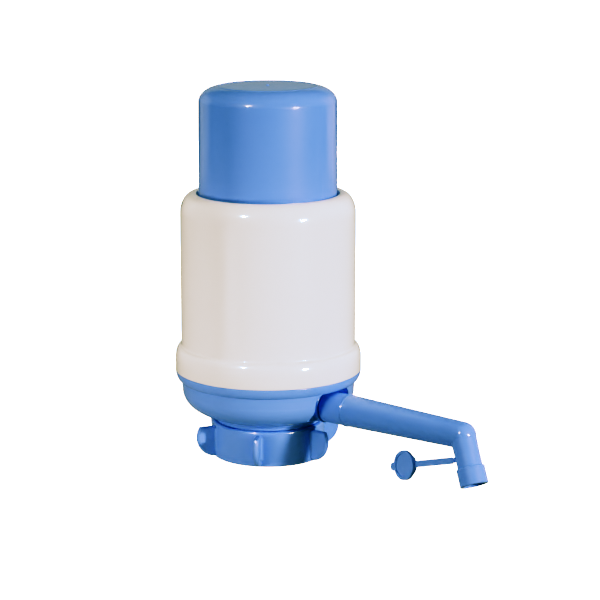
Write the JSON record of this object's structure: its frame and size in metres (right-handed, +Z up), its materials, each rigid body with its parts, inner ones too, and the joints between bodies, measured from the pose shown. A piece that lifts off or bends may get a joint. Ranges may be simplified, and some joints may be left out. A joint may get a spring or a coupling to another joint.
{
  "type": "water jug hand pump",
  "caption": "Hand-pressed bellows pump that clamps on the neck of a large water jug and pours through a swivelling side spout with a tethered cap.",
  "frame": {"origin": "on the pump's axis, in the plane of the lock ring's and claws' bottom edges, where the jug neck enters", "axes": "+Z up along the pump's axis, +X along the spout"},
  "size_m": [0.2376, 0.121, 0.242],
  "materials": {
    "white_gloss": "glossy moulded",
    "blue_gloss": "glossy moulded",
    "seal_rubber": "matte",
    "natural_plastic": "natural, satin",
    "bellows_plastic": "translucent natural, satin",
    "steel": "bright"
  },
  "bodies": {
    "base": {"outer_housing": "white_gloss", "base_bowl": "blue_gloss", "neck_gasket": "seal_rubber", "plate_gasket": "seal_rubber", "chamber_plate": "natural_plastic", "plate_screws": "steel", "lower_bellows_clamp": "natural_plastic", "delivery_valve": "seal_rubber", "bellows": "bellows_plastic", "return_spring": "steel"},
    "press": {"press_cap": "blue_gloss", "bellows_head": "natural_plastic", "head_screws": "steel", "upper_bellows_clamp": "natural_plastic", "intake_valve": "seal_rubber"},
    "lock": {"lock_ring": "blue_gloss"},
    "spout": {"spout_coupling": "blue_gloss", "spout_seal": "seal_rubber", "spout_arm": "blue_gloss", "nozzle_sleeve": "blue_gloss"},
    "tether": {"tether_cap": "blue_gloss"}
  },
  "joints": [
    {"name": "press_stroke", "type": "slide", "parent": "base", "child": "press", "axis": [0, 0, -1], "range_m": [0, 0.058], "stiffness_N_per_m": 600, "springref_m": -0.03, "deforming": ["bellows", "return_spring"]},
    {"name": "lock_turn", "type": "hinge", "parent": "base", "child": "lock", "pos_m": [0, 0, 0], "axis": [0, 0, 1], "range_deg": [-180, 0]},
    {"name": "spout_swivel", "type": "hinge", "parent": "base", "child": "spout", "pos_m": [0.0497, 0, 0.0396], "axis": [1, 0, 0], "range_deg": [-90, 90]},
    {"name": "strap_flex", "type": "hinge", "parent": "spout", "child": "tether", "pos_m": [0.15182, -0.00338, 0.0237], "axis": [0.4305, -0.1877, -0.8829], "range_deg": [-70, 70], "stiffness_Nm_per_rad": 0.02}
  ]
}
